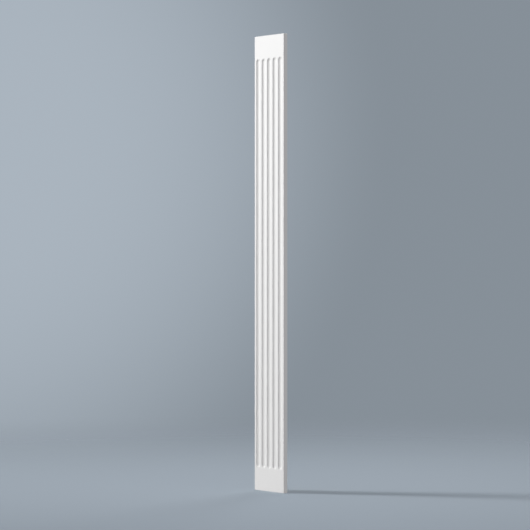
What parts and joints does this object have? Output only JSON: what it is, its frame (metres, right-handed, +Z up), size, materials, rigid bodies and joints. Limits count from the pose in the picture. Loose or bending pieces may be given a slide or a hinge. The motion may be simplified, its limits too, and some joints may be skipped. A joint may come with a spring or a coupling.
{
  "type": "pilaster",
  "caption": "Flat white wall pilaster with shallow round-ended flutes between plain end blocks, glued to a wall by its flat back.",
  "frame": {"origin": "middle of the flat back face, which is the face that is glued to the wall", "axes": "+X across the width, -Y out of the wall towards the viewer (the fluted face), +Y into the wall, +Z up along the shaft"},
  "size_m": [0.2, 0.02, 2],
  "materials": {
    "white_primer": "factory-primed rigid polyurethane, smooth and matt to satin, neutral white"
  },
  "bodies": {
    "root": {"pilaster_shaft": "white_primer"}
  },
  "joints": []
}
